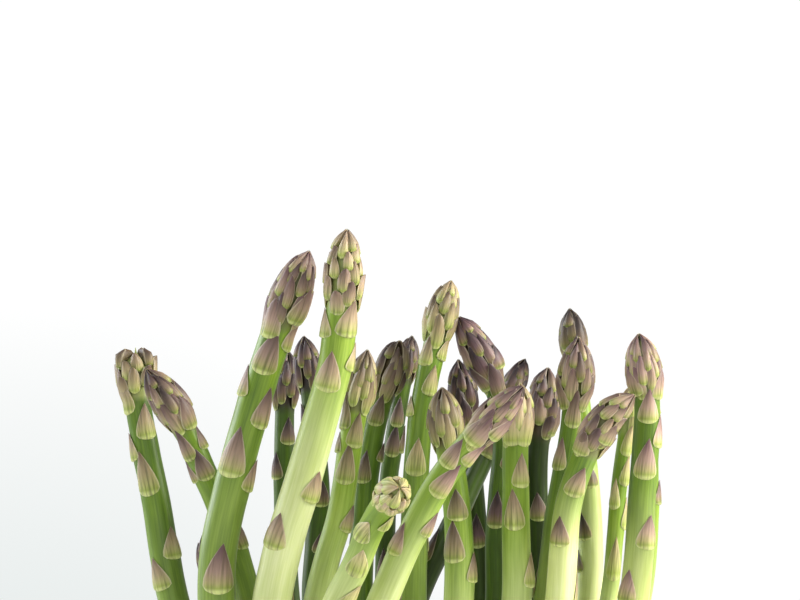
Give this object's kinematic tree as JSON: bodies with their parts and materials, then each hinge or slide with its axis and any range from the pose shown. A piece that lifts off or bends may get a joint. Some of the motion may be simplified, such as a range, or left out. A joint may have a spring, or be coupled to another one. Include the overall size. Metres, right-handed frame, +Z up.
{
  "type": "tied bundle of asparagus",
  "caption": "Fresh green asparagus spears with purple-brown tips, standing on their cut ends, gathered by a rubber band and fanning out above it.",
  "frame": {"origin": "middle of the bundle's box, on the surface it stands on", "axes": "+Z up along the spears, +X to the right and +Y to the back as seen from the side that it is pictured from"},
  "size_m": [0.1372, 0.1016, 0.255],
  "materials": {
    "asparagus": "fresh waxy plant skin, satin",
    "band": "matte rubber"
  },
  "bodies": {
    "root": {"spear_01": "asparagus", "spear_02": "asparagus", "spear_03": "asparagus", "spear_04": "asparagus", "spear_05": "asparagus", "spear_06": "asparagus", "spear_07": "asparagus", "spear_08": "asparagus", "spear_09": "asparagus", "spear_10": "asparagus", "spear_11": "asparagus", "spear_12": "asparagus", "spear_13": "asparagus", "spear_14": "asparagus", "spear_15": "asparagus", "spear_16": "asparagus", "spear_17": "asparagus", "spear_18": "asparagus", "spear_19": "asparagus", "spear_20": "asparagus", "spear_21": "asparagus", "spear_22": "asparagus", "spear_23": "asparagus", "spear_24": "asparagus", "spear_25": "asparagus", "rubber_band": "band"}
  },
  "joints": []
}
